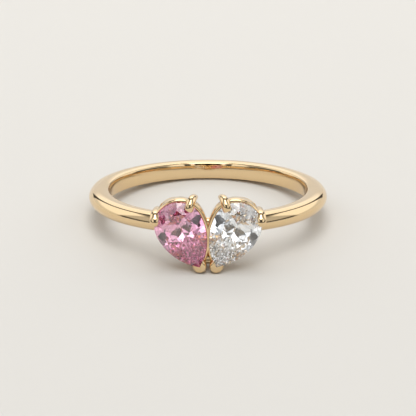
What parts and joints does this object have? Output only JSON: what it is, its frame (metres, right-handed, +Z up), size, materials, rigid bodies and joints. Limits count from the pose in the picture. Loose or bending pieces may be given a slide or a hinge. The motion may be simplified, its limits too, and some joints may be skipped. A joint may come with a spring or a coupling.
{
  "type": "finger ring with two pear-cut stones",
  "caption": "Slim gold finger ring whose rounded band carries a pink and a clear pear-cut stone side by side, points together below, held by round claws and V prongs.",
  "frame": {"origin": "on the surface the ring lies on, at the middle of its box", "axes": "+Z up, +X to the wearer's right when the head faces them, -Y towards the stones. The ring lies on its side, touching at the back of the band and at both V prongs, so the finger's axis leans 8.7 degrees from +Z towards +Y"},
  "size_m": [0.0198, 0.0211, 0.0064],
  "materials": {
    "gold": "polished 14 carat yellow gold",
    "pink_gem": "faceted and polished pink diamond",
    "clear_gem": "faceted and polished clear diamond"
  },
  "bodies": {
    "root": {"band_and_setting": "gold", "pink_stone": "pink_gem", "clear_stone": "clear_gem"}
  },
  "joints": []
}
